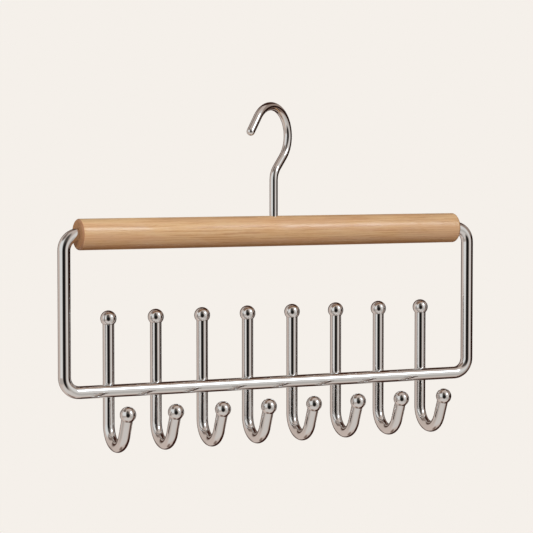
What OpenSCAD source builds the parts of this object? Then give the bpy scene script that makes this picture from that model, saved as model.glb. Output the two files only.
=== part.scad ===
// Tie hanger: a wooden bar closed by a bent chrome rod, whose lower rail carries a row of
// ball-ended J hooks, hung from a wire hook that turns in the middle of the bar.
// Millimetres. X runs along the bar, +Z is up, and -Y is the front, where the J hooks open.
// The origin is the point inside the hook's bow that rests on the clothes rail.

/* [Wooden bar] */
// Length of the wooden bar
bar_len = 306; // [230:1:420]
// Diameter of the wooden bar
bar_d = 22; // [18:0.5:32]
// Rounding of the bar's end edges
bar_edge_r = 1.8; // [0.4:0.1:3]

/* [Frame rod] */
// Diameter of the rod that the frame is bent from
frame_rod_d = 9; // [6:0.1:11]
// Depth of the lower rail's axis below the bar's axis
rail_drop = 110.2; // [85:0.1:150]
// Radius of the two bends beside the bar, on the rod's axis
frame_top_r = 11; // [7:0.1:18]
// Radius of the two bends beside the lower rail, on the rod's axis
frame_corner_r = 11; // [7:0.1:18]
// Straight rod between the bar's end and the bend, less than 0 where the bend ends in the bore
frame_reveal = 0; // [-0.2:0.1:4]
// Depth of each frame end in the bar
tenon_len = 20; // [12:0.5:40]
// Distance that the frame is pushed to the right in the bar's bores
frame_shift = 1; // [0:0.1:2]

/* [Tie hooks] */
// Number of tie hooks along the rail
hook_count = 8; // [4:1:8]
// Diameter of the rod that the tie hooks are bent from
hook_rod_d = 8.2; // [5:0.1:10]
// Height of the upper balls' centres above the rail's axis
hook_rise = 50.4; // [35:0.1:62]
// Depth of the bends' centres below the rail's axis
hook_drop = 24.3; // [18:0.1:32]
// Radius of the tie hooks' bends, on the rod's axis
hook_bend_r = 14.5; // [12:0.1:18]
// Angle that each tie hook is bent through
hook_turn = 157.5; // [140:0.5:170]
// Straight rod from the end of the bend to the tip ball's centre
hook_tail_len = 17.1; // [13:0.1:24]
// Diameter of the balls
ball_d = 11.4; // [10.8:0.1:14]

/* [Hanging hook] */
// Diameter of the hanging hook's wire
wire_d = 6; // [4.5:0.1:7.5]
// Height above the bar's axis where the stem starts to bend
stem_rise = 36.5; // [25:0.1:50]
// Radius of the bend above the stem, on the wire's axis
kink_r = 13; // [9:0.1:18]
// Angle of the bend above the stem
kink_turn = 45; // [35:0.5:50]
// Straight wire between the two bends
neck_len = 11.3; // [6:0.1:18]
// Radius of the bow that goes over the clothes rail, on the wire's axis
bow_r = 21.4; // [18:0.1:27]
// Angle that the bow is bent through
bow_turn = 186; // [170:0.5:200]
// Straight wire from the end of the bow to the wire's tip
tip_len = 16.4; // [8:0.1:24]
// Angle of the hook's plane to the frame's plane
hook_plane_turn = 28; // [0:1:90]

/* [Swivel] */
// Thickness of the washer at the top of the recess in the bar
washer_t = 1; // [0.6:0.1:2]
// Width of the washer's rim around the riveted head
washer_rim = 1; // [0.5:0.1:1.5]
// Thickness of the riveted head on the stem's lower end
rivet_t = 2.2; // [1.5:0.1:3]
// Width by which the riveted head stands out around the stem
rivet_lip = 1.8; // [1.2:0.1:2]
// Thickness of the plug that closes the recess, in its middle
plug_t = 4; // [3:0.1:5]

/* [Clearances] */
// Gap around the stem in the bar
swivel_gap = 0.1; // [0.05:0.01:0.1]
// Gap between the washer and the riveted head
end_play = 0.1; // [0.05:0.01:0.3]
// Gap around the stem in the washer
washer_gap = 0.2; // [0.1:0.05:0.3]
// Gap around the washer in its recess
recess_gap = 0.5; // [0.2:0.1:0.5]
// Room under the riveted head, in which it turns clear of the plug
rivet_room = 0.5; // [0.2:0.1:1]
// Gap around the plug in the recess, which the glue fills
plug_gap = 0.05; // [0.02:0.01:0.2]
// Gap around the frame ends in the bar, which the glue fills
glue_gap = 0.15; // [0.1:0.01:0.3]
// Gap at each welded seat, which the weld fills
weld_gap = 0.05; // [0.02:0.01:0.2]
// Depth of each tie hook's seat in the line of the rail
weld_depth = 0.7; // [0.3:0.1:1.2]

/* [Hidden] */
$fn = 96;
// Overshoot of the cuts, so that they pass right through a face
cut = 1;

// Extra angle that a bend is drawn past its end, before it is cut square there
over = 12;

// A number as it is written out, with six digits
function written(x) = let (unit = abs(x) < 0.1 ? 1e-7 : 1e-6) round(x / unit) * unit;
// How far the written sine and cosine of an angle miss a true rotation
function slip(a) = abs(pow(written(sin(a)), 2) + pow(written(cos(a)), 2) - 1);
// The angle nearest to a, in thousandths of a degree, that is written out as a true rotation.
// The faces of two stretches of rod match after such a turn, and otherwise miss by a hair.
function true_turn(a) =
    [for (k = [0:150], side = [-1, 1]) if (slip(a + side * k / 1000) < 4e-8) a + side * k / 1000][0];

// Each rod is a list of steps, as a wire bender is set: the straight run, the roll about the
// run's axis, and the radius and angle of the bend. What follows the last bend is drawn apart.

// Frame: the side rods stand where the top bends bring them
frame_w = bar_len + 2 * (frame_reveal + frame_top_r);
side_run = rail_drop - frame_top_r - frame_corner_r;
frame_end_run = tenon_len + frame_reveal;
bore_depth = tenon_len + frame_shift;
frame_steps = [
    [frame_end_run, 0, frame_top_r, 90],
    [side_run, 0, frame_corner_r, 90],
    [frame_w - 2 * frame_corner_r, 0, frame_corner_r, 90],
    [side_run, 0, frame_top_r, 90],
];

// Tie hooks: spaced evenly between the side rods, with their shanks behind the rail
hook_pitch = frame_w / (hook_count + 1);
shank_y = (frame_rod_d + hook_rod_d) / 2 - weld_depth;
hook_steps = [[hook_rise + hook_drop, 0, hook_bend_r, true_turn(hook_turn)]];

// Swivel, measured up from the bar's axis
rivet_d = wire_d + 2 * rivet_lip;
washer_d = rivet_d + 2 * washer_rim;
recess_d = washer_d + 2 * recess_gap;
plug_top_z = plug_t - bar_d / 2;
rivet_top_z = plug_top_z + rivet_room + rivet_t;
washer_z = rivet_top_z + end_play;
recess_top_z = washer_z + washer_t;
// Radius of the sphere that the riveted head is a cap of
rivet_dome_r = (pow(rivet_d / 2, 2) + pow(rivet_t, 2)) / (2 * rivet_t);

// Hanging hook, from the riveted head to the end of the bow, which bends back over the kink
lean = true_turn(kink_turn);
wire_steps = [
    [stem_rise - rivet_top_z, 0, kink_r, lean],
    [neck_len, 180, bow_r, true_turn(bow_turn)],
];

// Centre of the bow in the hook's plane, out from the stem and up from the bar's axis
bow_out = kink_r * (1 - cos(lean)) + neck_len * sin(lean) - bow_r * cos(lean);
bow_up = stem_rise + kink_r * sin(lean) + neck_len * cos(lean) + bow_r * sin(lean);
// Seat of the clothes rail, under the crown of the bow, from the middle of the bar
seat = [
    bow_out * cos(hook_plane_turn),
    bow_out * sin(hook_plane_turn),
    bow_up + bow_r - wire_d / 2,
];

HOOKS = [1:hook_count];

// Moves its children from the middle of the bar to their place under the clothes rail
module hung() {
    translate(-seat) children();
}

// Moves its children from the start of a bend to its end, headed up at first and turning
// towards +X
module turned(r, turn) {
    translate([r, 0, 0]) rotate([0, turn, 0]) translate([-r, 0, 0]) children();
}

// Bent stretch of rod, drawn too long and cut square at its end
module bend(d, r, turn) {
    difference() {
        translate([r, 0, 0])
            rotate([90, 0, 0])
                rotate_extrude(angle = turn + over, start = 180 - turn - over)
                    translate([r, 0])
                        circle(d = d);
        turned(r, turn) translate([-d, -d, 0]) cube([d + r, 2 * d, 2 * r]);
    }
}

// Moves its children past one step of a rod
module past(step) {
    translate([0, 0, step[0]]) rotate([0, 0, step[1]]) turned(step[2], step[3]) children();
}

// Moves its children to the end of a rod's last bend
module at_end(steps, i = 0) {
    if (i < len(steps))
        past(steps[i]) at_end(steps, i + 1) children();
    else
        children();
}

// Round rod through its steps, with its children on the end
module bent_rod(d, steps, i = 0) {
    if (i < len(steps)) {
        step = steps[i];
        cylinder(d = d, h = step[0]);
        translate([0, 0, step[0]]) rotate([0, 0, step[1]]) bend(d, step[2], step[3]);
        past(step) bent_rod(d, steps, i + 1) children();
    } else {
        children();
    }
}

// Straight rod from the origin with a round tip, turned as one profile
module round_tip(d, h) {
    rotate_extrude() {
        square([d / 2, h - d / 2]);
        intersection() {
            translate([0, h - d / 2]) circle(d = d);
            translate([0, h - d / 2]) square(d);
        }
    }
}

// Half profile of the bar with rounded end edges, along Y
module bar_profile() {
    r = bar_d / 2;
    translate([0, bar_edge_r - bar_len / 2]) square([r, bar_len - 2 * bar_edge_r]);
    translate([0, -bar_len / 2]) square([r - bar_edge_r, bar_len]);
    for (side = [-1, 1])
        translate([r - bar_edge_r, side * (bar_len / 2 - bar_edge_r)]) circle(r = bar_edge_r);
}

// Bar with a blind bore in each end for the frame, and a bore down its middle for the stem,
// which opens below into the recess of the swivel
module wooden_bar() {
    color("burlywood")
        difference() {
            rotate([0, 90, 0]) rotate_extrude() bar_profile();
            for (side = [-1, 1])
                translate([side * (bar_len / 2 - bore_depth), 0, 0])
                    rotate([0, side * 90, 0])
                        cylinder(d = frame_rod_d + 2 * glue_gap, h = bore_depth + cut);
            translate([0, 0, -bar_d]) cylinder(d = wire_d + 2 * swivel_gap, h = 2 * bar_d);
            translate([0, 0, -bar_d]) cylinder(d = recess_d, h = bar_d + recess_top_z);
        }
}

// One rod, bent four times: out of the bar's left end, down, along the rail, up and back in
module frame_rod() {
    color("silver")
        translate([frame_shift + tenon_len - bar_len / 2, 0, 0])
            rotate([180, 90, 0])
                bent_rod(frame_rod_d, frame_steps) cylinder(d = frame_rod_d, h = frame_end_run);
}

// Wire hook: a riveted head under the washer, the stem, the bow and a round tip
module hanging_hook() {
    color("silver")
        rotate([0, 0, hook_plane_turn])
            translate([0, 0, rivet_top_z]) {
                rivet_head();
                bent_rod(wire_d, wire_steps) round_tip(wire_d, tip_len);
            }
}

// Low dome that the stem's lower end is hammered into, below the origin
module rivet_head() {
    rotate_extrude()
        intersection() {
            translate([0, rivet_dome_r - rivet_t]) circle(r = rivet_dome_r);
            translate([0, -rivet_t]) square([rivet_d / 2, rivet_t]);
        }
}

module swivel_washer() {
    color("gainsboro")
        translate([0, 0, washer_z])
            difference() {
                cylinder(d = washer_d, h = washer_t);
                translate([0, 0, -cut]) cylinder(d = wire_d + 2 * washer_gap, h = washer_t + 2 * cut);
            }
}

// Wooden plug in the recess, flush with the bar's round underside
module swivel_plug() {
    color("burlywood")
        intersection() {
            rotate([0, 90, 0]) cylinder(d = bar_d, h = 2 * recess_d, center = true);
            translate([0, 0, plug_top_z - bar_d])
                cylinder(d = recess_d - 2 * plug_gap, h = bar_d);
        }
}

// Moves its children to the upper end of tie hook i, headed down along its shank
module at_hook(i) {
    translate([
        frame_shift + (i - (hook_count + 1) / 2) * hook_pitch,
        shank_y,
        hook_rise - rail_drop,
    ])
        rotate([180, 0, -90])
            children();
}

// Moves its children from the upper end of a tie hook to its tip
module at_tip() {
    at_end(hook_steps) translate([0, 0, hook_tail_len]) children();
}

// J hook, cupped at both ends for its balls and cut back where it is welded to the rail
module tie_hook(i) {
    color("silver")
        difference() {
            at_hook(i) bent_rod(hook_rod_d, hook_steps) cylinder(d = hook_rod_d, h = hook_tail_len);
            at_hook(i) sphere(d = ball_d + 2 * weld_gap);
            at_hook(i) at_tip() sphere(d = ball_d + 2 * weld_gap);
            translate([frame_shift - frame_w / 2, 0, -rail_drop])
                rotate([0, 90, 0])
                    cylinder(d = frame_rod_d + 2 * weld_gap, h = frame_w);
        }
}

module top_ball(i) {
    color("silver") at_hook(i) sphere(d = ball_d);
}

module tip_ball(i) {
    color("silver") at_hook(i) at_tip() sphere(d = ball_d);
}

hung() wooden_bar();
hung() frame_rod();
hung() hanging_hook();
hung() swivel_washer();
hung() swivel_plug();
for (i = HOOKS) {
    hung() tie_hook(i);
    hung() top_ball(i);
    hung() tip_ball(i);
}
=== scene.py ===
# %% [markdown]
# # Tie hanger
# A turned wooden bar and a bent chrome rod close into a frame. J hooks with ball ends stand
# on the frame's lower rail, and a wire hook turns in the middle of the bar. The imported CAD
# model brings every piece in its true place. This script adds the camera, the studio that
# the chrome mirrors, one lamp, and the finish of each piece.

import math

import bpy
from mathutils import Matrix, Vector


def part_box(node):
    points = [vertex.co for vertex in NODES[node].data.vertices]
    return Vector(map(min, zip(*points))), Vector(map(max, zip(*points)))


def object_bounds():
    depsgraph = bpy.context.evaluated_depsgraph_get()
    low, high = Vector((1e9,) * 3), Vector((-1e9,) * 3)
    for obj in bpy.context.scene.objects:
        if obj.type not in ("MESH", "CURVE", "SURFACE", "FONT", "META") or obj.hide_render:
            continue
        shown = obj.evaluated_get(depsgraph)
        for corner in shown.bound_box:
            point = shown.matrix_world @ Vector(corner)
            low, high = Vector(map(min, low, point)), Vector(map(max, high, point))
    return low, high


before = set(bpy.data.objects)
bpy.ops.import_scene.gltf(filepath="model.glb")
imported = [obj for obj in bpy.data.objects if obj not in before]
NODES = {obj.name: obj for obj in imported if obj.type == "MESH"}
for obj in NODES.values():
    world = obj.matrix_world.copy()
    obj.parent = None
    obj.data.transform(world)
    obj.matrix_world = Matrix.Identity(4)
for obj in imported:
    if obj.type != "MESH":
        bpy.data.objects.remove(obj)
CAD_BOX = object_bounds()
MM = 0.001


def middle(node):
    low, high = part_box(node)
    return (low + high) / 2


def size(node):
    low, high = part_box(node)
    return high - low


BAR = middle("wooden_bar")
BAR_SIZE = size("wooden_bar")
HALF_BAR = BAR_SIZE.x / 2 / MM  # in millimetres
print("bar:", [round(v / MM, 1) for v in BAR_SIZE], "mm")
print("its middle at", [round(v / MM, 1) for v in BAR], "mm")

# %% [markdown]
# ## Camera
# The photograph is taken from the left, a little above the bar, with a long lens. A long
# lens far away keeps the rods nearly parallel. The camera looks at a point a little below
# the bar, so its place follows from two angles and a distance.

# %% Camera
AZIMUTH = math.radians(-26.862)
ELEVATION = math.radians(3.035)
DISTANCE = 1579.3 * MM
LENS = 147.15  # in millimetres, as the sensor's width is
SENSOR_WIDTH = 36
FARTHEST_SEEN = 50  # in metres, as every distance is that isn't scaled by MM
ASIDE_AND_DOWN = Vector((-6.8, 0, -25.7)) * MM
TARGET = Vector((middle("frame_rod").x, BAR.y, BAR.z)) + ASIDE_AND_DOWN


def direction(azimuth, elevation):
    """A step of length one, from the hanger out to what stands at these two angles."""
    return Vector((
        math.sin(azimuth) * math.cos(elevation),
        -math.cos(azimuth) * math.cos(elevation),
        math.sin(elevation),
    ))


def aim(thing, outwards, distance):
    """Places a camera or a lamp at a distance from the target and turns it to face it."""
    thing.location = TARGET + distance * outwards
    thing.rotation_euler = (-outwards).to_track_quat("-Z", "Y").to_euler()
    bpy.context.scene.collection.objects.link(thing)


camera_data = bpy.data.cameras.new("camera")
camera_data.lens = LENS
camera_data.sensor_width = SENSOR_WIDTH
camera_data.clip_end = FARTHEST_SEEN
camera = bpy.data.objects.new("camera", camera_data)
aim(camera, direction(AZIMUTH, ELEVATION), DISTANCE)
bpy.context.scene.camera = camera
bpy.context.scene.view_settings.view_transform = "Standard"
print("camera at", [round(v, 3) for v in camera.location])

# %% [markdown]
# ## Shader maths
# A material is a small sum over sockets. One class wraps a socket, so that a mask is written
# as an ordinary expression and each operator adds its own Math node.


# %% Shader maths
class Value:
    """A socket that takes part in Python arithmetic."""

    def __init__(self, shader, socket):
        self.shader = shader
        self.socket = socket

    def math(self, operation, *others):
        return self.shader.node("ShaderNodeMath", self, *others, operation=operation)

    def __add__(self, other):
        return self.math("ADD", other)

    def __sub__(self, other):
        return self.math("SUBTRACT", other)

    def __rsub__(self, other):
        return self.shader.node("ShaderNodeMath", other, self, operation="SUBTRACT")

    def __mul__(self, other):
        return self.math("MULTIPLY", other)

    def __truediv__(self, other):
        return self.math("DIVIDE", other)

    def __pow__(self, other):
        return self.math("POWER", other)

    def smooth(self, low, high):
        """0 below low, 1 above high, and a soft step between."""
        return self.shader.node(
            "ShaderNodeMapRange", self, low, high, 0.0, 1.0, interpolation_type="SMOOTHSTEP"
        )


class Shader:
    """Adds nodes to one node tree."""

    def __init__(self, tree):
        self.tree = tree
        self.tree.nodes.clear()

    def node(self, kind, *inputs, out=0, stops=None, named=None, **settings):
        """Adds a node: its settings first, then the values or links of its sockets."""
        made = self.tree.nodes.new(kind)
        for key, value in settings.items():
            setattr(made, key, value)
        if stops:
            self.fill_ramp(made.color_ramp, stops)
        for socket, value in zip(made.inputs, inputs):
            self.feed(socket, value)
        for key, value in (named or {}).items():
            self.feed(made.inputs[key], value)
        return Value(self, made.outputs[out]) if made.outputs else None

    def fill_ramp(self, ramp, stops):
        """Sets a colour ramp, which starts with two elements, to places and colours."""
        while len(ramp.elements) < len(stops):
            ramp.elements.new(0.5)
        for element, (place, colour) in zip(ramp.elements, stops):
            element.position = place
            element.color = (*colour, 1.0)

    def feed(self, socket, value):
        """Links a Value to a socket, or sets it to a plain number, vector or colour."""
        if isinstance(value, Value):
            self.tree.links.new(value.socket, socket)
        elif socket.type == "RGBA":
            socket.default_value = (*value, 1.0)
        else:
            socket.default_value = value

    def mix(self, factor, a, b, **settings):
        """Mixes two colours, whose sockets are the seventh and eighth of the node."""
        return self.node(
            "ShaderNodeMix", factor, named={6: a, 7: b}, out=2, data_type="RGBA", **settings
        )

    def split(self, vector):
        """The three parts of a vector."""
        parts = self.node("ShaderNodeSeparateXYZ", vector).socket.node
        return [Value(self, part) for part in parts.outputs]

    def join(self, x, y, z):
        """A vector of three parts."""
        return self.node("ShaderNodeCombineXYZ", x, y, z)

    def ray(self, kind):
        """1 for a ray of this kind and 0 for any other."""
        return self.node("ShaderNodeLightPath", out=f"Is {kind} Ray")


def srgb(red, green, blue):
    """A colour as a screen shows it, 0 to 255, in the linear numbers that Blender uses."""

    def linear(c):
        c /= 255
        return c / 12.92 if c <= 0.04045 else ((c + 0.055) / 1.055) ** 2.4

    return (linear(red), linear(green), linear(blue))


print("shader maths ready")

# %% [markdown]
# ## Studio
# Chrome has no colour of its own: a rod shows the room in stripes. The studio is written as
# a few soft patches, each at a direction counted from the camera: degrees to the right, then
# degrees up. The dark one round the lens gives the black stripe down each upright rod, the
# window gives the white line along the rail and the sheen of the lacquer, and the brown wall
# behind on the right gives the thin dark edges. The camera itself sees one plain cream. Matte
# surfaces get a plain soft light, which is warmer and weaker from below.

# %% World
CREAM = srgb(245, 240, 234)
ROOM_BELOW = srgb(204, 188, 179)
ROOM_ABOVE = srgb(196, 182, 173)
LIGHT_BELOW = (0.27, 0.15, 0.075)
LIGHT_ABOVE = (0.5, 0.5, 0.5)
WINDOW_LIGHT = [5.8 * part for part in (0.86, 0.97, 1.06)]
FULL_TURN = 360.0
QUARTER_TURN = 90.0  # farther to the right than this, a patch is behind the hanger
DEGREE = 180 / math.pi

# name, degrees to the right and up, half width and half height, softness, colour
PATCHES = [
    ("pale floor in front", -4, -56, 86, 26, 0.6, srgb(210, 204, 199)),
    ("shade low on the left", -150, -74, 66, 14, 0.7, srgb(132, 112, 102)),
    ("shade high on the left", -150, 66, 66, 16, 0.7, srgb(138, 120, 110)),
    ("cool side wall", -48, 16, 38, 28, 0.6, srgb(226, 227, 226)),
    ("grey table", -60, -20, 46, 10, 0.6, srgb(180, 172, 166)),
    ("beam over the left", -76, 52, 36, 16, 0.6, srgb(122, 110, 104)),
    ("door behind", 196, 8, 32, 40, 0.45, srgb(72, 50, 41)),
    ("wall behind", 138, -10, 58, 60, 0.3, srgb(124, 104, 94)),
    ("upper wall behind", 120, 28, 38, 26, 0.5, srgb(152, 135, 125)),
    ("shelf behind", 160, 48, 42, 22, 0.4, srgb(58, 35, 27)),
    ("low cupboard", 152, -42, 48, 28, 0.4, srgb(58, 32, 24)),
    ("dark rail of the wall", 144, -2, 61, 15, 0.2, srgb(36, 17, 10)),
    ("grey chair", 56, -24, 27, 21, 0.6, srgb(188, 184, 179)),
    ("light wall by the window", 58, 24, 23, 35, 0.6, srgb(220, 218, 215)),
    ("window", 59, 34, 8, 9.5, 0.8, WINDOW_LIGHT),
    ("dark round the lens", 5, -4, 28, 32, 0.55, srgb(58, 55, 52)),
    ("stand over the lens", -2, 28, 24, 36, 0.8, srgb(78, 74, 70)),
    ("lens", 3, -4, 20, 24, 0.6, srgb(26, 25, 24)),
]

world = bpy.data.worlds.new("studio")
world.use_nodes = True
bpy.context.scene.world = world
sky = Shader(world.node_tree)

view = sky.split(sky.node("ShaderNodeTexCoord", out="Generated"))
right = view[0] * math.cos(AZIMUTH) + view[1] * math.sin(AZIMUTH)
nearer = view[0] * math.sin(AZIMUTH) - view[1] * math.cos(AZIMUTH)
height = view[2].math("ARCSINE") * DEGREE
round_front = right.math("ARCTAN2", nearer) * DEGREE
round_back = round_front.math("WRAP", FULL_TURN, 0.0)

room = sky.mix(height.smooth(-60, 60), ROOM_BELOW, ROOM_ABOVE)
for label, to_right, up, half_width, half_height, soft, colour in PATCHES:
    around = round_back if to_right > QUARTER_TURN else round_front
    reach = ((around - to_right) / half_width) ** 2 + ((height - up) / half_height) ** 2
    room = sky.mix(1 - reach.smooth(1 - soft, 1 + soft), room, colour, label=label)

light = sky.mix(height.smooth(-70, 40), LIGHT_BELOW, LIGHT_ABOVE)
seen = sky.mix(sky.ray("Glossy"), light, room)
seen = sky.mix(sky.ray("Camera") + sky.ray("Transmission"), seen, CREAM)
background = sky.node("ShaderNodeBackground", seen, 1.0)
sky.node("ShaderNodeOutputWorld", background)
print("world nodes:", len(world.node_tree.nodes), "patches:", len(PATCHES))

# %% [markdown]
# ## Floor and lamp
# The hanger hangs free, so the floor lies well below it and shows the cream of the background.
# What chrome mirrors from below, and the soft light on the wood from there, are part of the
# studio above, so those rays pass the floor by. One large lamp in front and above models the
# wood. The chrome doesn't mirror it.

# %% Floor and lamp
FLOOR_DEPTH = 0.9
FLOOR_HALF = 6.0
CORNERS = ((-1, -1), (1, -1), (1, 1), (-1, 1))
LAMP_SIDE = math.radians(-6)
LAMP_HEIGHT = math.radians(32)
LAMP_DISTANCE = 2.2
LAMP_WIDTH = 1.4
LAMP_BREADTH = 0.8
LAMP_WATTS = 28

floor_z = CAD_BOX[0][2] - FLOOR_DEPTH
floor_mesh = bpy.data.meshes.new("floor")
floor_mesh.from_pydata(
    [(x * FLOOR_HALF, y * FLOOR_HALF, floor_z) for x, y in CORNERS], [], [(0, 1, 2, 3)]
)
floor = bpy.data.objects.new("floor", floor_mesh)
floor.visible_glossy = False
floor.visible_diffuse = False
bpy.context.scene.collection.objects.link(floor)

paper = bpy.data.materials.new("pale_floor")
paper.use_nodes = True
tree = Shader(paper.node_tree)
shown = tree.ray("Camera") + tree.ray("Glossy") + tree.ray("Transmission")
matte = tree.node("ShaderNodeBsdfDiffuse", CREAM)
plain = tree.node("ShaderNodeEmission", CREAM, 1.0)
tree.node("ShaderNodeOutputMaterial", tree.node("ShaderNodeMixShader", shown, matte, plain))
floor_mesh.materials.append(paper)

lamp_data = bpy.data.lights.new("lamp", "AREA")
lamp_data.shape = "RECTANGLE"
lamp_data.size = LAMP_WIDTH
lamp_data.size_y = LAMP_BREADTH
lamp_data.energy = LAMP_WATTS
lamp = bpy.data.objects.new("lamp", lamp_data)
lamp.visible_glossy = False
aim(lamp, direction(AZIMUTH + LAMP_SIDE, LAMP_HEIGHT), LAMP_DISTANCE)
print("lamp at", [round(v, 2) for v in lamp.location])

# %% [markdown]
# ## Wood
# A dowel is turned from a plank, so its growth rings are layers of one large trunk whose
# heart lies outside the bar. The distance from that heart gives the layers. They show as long
# lines on the side and as arcs on the ends, with no seam between them. Fibres, streaks and
# short dark flecks are noise that is stretched along the bar. The rounded edge at each end is
# painted darker, partly as end grain and partly as painted shade. The end faces are darker
# still and show open pores. All lengths in the materials are millimetres from the middle of
# the bar.


# %% Wood
def new_material(name):
    """An empty material and the shader that fills it."""
    material = bpy.data.materials.new(name)
    material.use_nodes = True
    return material, Shader(material.node_tree)


def bar_coordinates(tree):
    """Object coordinates in millimetres from the middle of the bar."""
    place = tree.node("ShaderNodeTexCoord", out="Object")
    place = tree.node("ShaderNodeVectorMath", place, tuple(BAR), operation="SUBTRACT")
    place = tree.node("ShaderNodeVectorMath", place, operation="SCALE", named={"Scale": 1 / MM})
    return tree.split(place)


def noise(tree, x, y, z, scale, detail=2.0, roughness=0.5):
    """Soft noise between 0 and 1, which is finer where the scale is larger."""
    return tree.node(
        "ShaderNodeTexNoise", tree.join(x, y, z),
        named={"Scale": scale, "Detail": detail, "Roughness": roughness},
    )


HEART_ACROSS = 38.0
HEART_UP = -64.0
RING = 1.7  # from one growth ring to the next
WANDER = 7.0  # how far the rings stray from true circles
PALE = srgb(232, 196, 149)
HONEY = srgb(221, 179, 131)
TAN = srgb(194, 144, 98)
ROSY = srgb(220, 168, 128)
FLECK_BROWN = srgb(150, 98, 62)
# colour of the rounded edges: end grain and painted shade
EDGE_GRAIN_AND_SHADE_BROWN = srgb(164, 112, 76)
END_TAN = srgb(204, 154, 110)
PORE_BROWN = srgb(132, 86, 54)

wood, tree = new_material("lacquered_wood")
x, y, z = bar_coordinates(tree)
across = y - HEART_ACROSS
above = z - HEART_UP
wandering = noise(tree, x * 0.1, y, z, 0.05, 3.0) * WANDER
depth = (across * across + above * above) ** 0.5 + wandering
layer = (depth * (2 * math.pi / RING)).math("SINE") * 0.5 + 0.5
fibre = noise(tree, x * 0.03, y, z, 2.6, 4.0, 0.65)
fine = noise(tree, x * 0.05, y, z, 7.0)
tint = noise(tree, x * 0.035, y, z, 0.22)
fleck = noise(tree, x * 0.045, y, z, 2.3, 1.0).smooth(0.66, 0.76)
streak = noise(tree, x * 0.014, y, z, 1.1, 3.0, 0.6)

from_end = HALF_BAR - x.math("ABSOLUTE")
# the rounded edge at each end, painted darker: partly end grain, partly painted shade
edge_grain_and_shade = 1 - from_end.smooth(0.95, 1.25)
end = 1 - from_end.smooth(0.1, 0.35)
pores = noise(tree, x, y, z, 2.4, 3.0, 0.8).smooth(0.4, 0.68)

grain = layer * 0.14 + fibre * 0.7 + fine * 0.25 + streak * 0.75
colour = tree.node(
    "ShaderNodeValToRGB", grain.smooth(0.62, 1.22), stops=[(0.0, PALE), (0.5, HONEY), (1.0, TAN)]
)
colour = tree.mix(tint.smooth(0.45, 0.65) * 0.35, colour, ROSY)
colour = tree.mix(fleck * 0.4, colour, FLECK_BROWN)
colour = tree.mix(edge_grain_and_shade * 0.9, colour, EDGE_GRAIN_AND_SHADE_BROWN)
end_colour = tree.mix(pores * 0.7 + layer * 0.2, END_TAN, PORE_BROWN)
colour = tree.mix(end, colour, end_colour)

relief = fibre * 0.6 + fine * 0.4 - fleck * 0.4 - pores * end
bump = tree.node("ShaderNodeBump", named={"Strength": 0.25, "Distance": 0.2 * MM, "Height": relief})
patchy = noise(tree, x * 0.16, y * 0.6, z * 0.6, 0.22, 3.0)
lacquer = (patchy.smooth(0.32, 0.68) * 0.75 + 0.25) * (1 - end * 0.8)
body = tree.node(
    "ShaderNodeBsdfPrincipled",
    named={
        "Base Color": colour,
        "Roughness": fibre * 0.12 + end * 0.25 + 0.4,
        "Specular IOR Level": 0.3,
        "Coat Weight": lacquer,
        "Coat Roughness": 0.3,
        "Coat IOR": 1.85,
        "Normal": bump,
    },
)
tree.node("ShaderNodeOutputMaterial", body)
print("wood nodes:", len(wood.node_tree.nodes))

# %% [markdown]
# ## Chrome
# The plating is a mirror. A faint unevenness from the bending and a slight smear on the polish
# keep it from looking like a perfect tube.

# %% Chrome
BRIGHT = (0.86, 0.855, 0.85)
SMEARED = (0.78, 0.765, 0.75)

chrome, tree = new_material("polished_chrome")
x, y, z = bar_coordinates(tree)
uneven = noise(tree, x, y, z, 0.06, 1.0)
smear = noise(tree, x, y, z * 0.3, 0.9)
waves = tree.node("ShaderNodeBump", named={"Strength": 0.03, "Distance": 0.3 * MM, "Height": uneven})
body = tree.node(
    "ShaderNodeBsdfPrincipled",
    named={
        "Base Color": tree.mix(smear.smooth(0.4, 0.8) * 0.2, BRIGHT, SMEARED),
        "Metallic": 1.0,
        "Roughness": smear.smooth(0.45, 0.75) * 0.03 + 0.05,
        "Normal": waves,
    },
)
tree.node("ShaderNodeOutputMaterial", body)
print("chrome nodes:", len(chrome.node_tree.nodes))

# %% [markdown]
# ## Washer steel
# The washer sits out of sight in the bar. It is plain steel with turning marks, which are
# rings round the hook's stem.

# %% Washer steel
STEEL = (0.55, 0.55, 0.55)

steel, tree = new_material("turned_steel")
x, y, z = bar_coordinates(tree)
marks = noise(tree, (x * x + y * y) ** 0.5, 0, 0, 9.0)
body = tree.node(
    "ShaderNodeBsdfPrincipled",
    named={"Base Color": STEEL, "Metallic": 1.0, "Roughness": marks * 0.2 + 0.28},
)
tree.node("ShaderNodeOutputMaterial", body)
print("steel nodes:", len(steel.node_tree.nodes))

# %% Finish of each node
FINISHES = {"wooden_bar": wood, "swivel_plug": wood, "swivel_washer": steel}

for name, piece in NODES.items():
    for slot in piece.material_slots:
        slot.material = FINISHES.get(name, chrome)
print("finished nodes:", len(NODES))
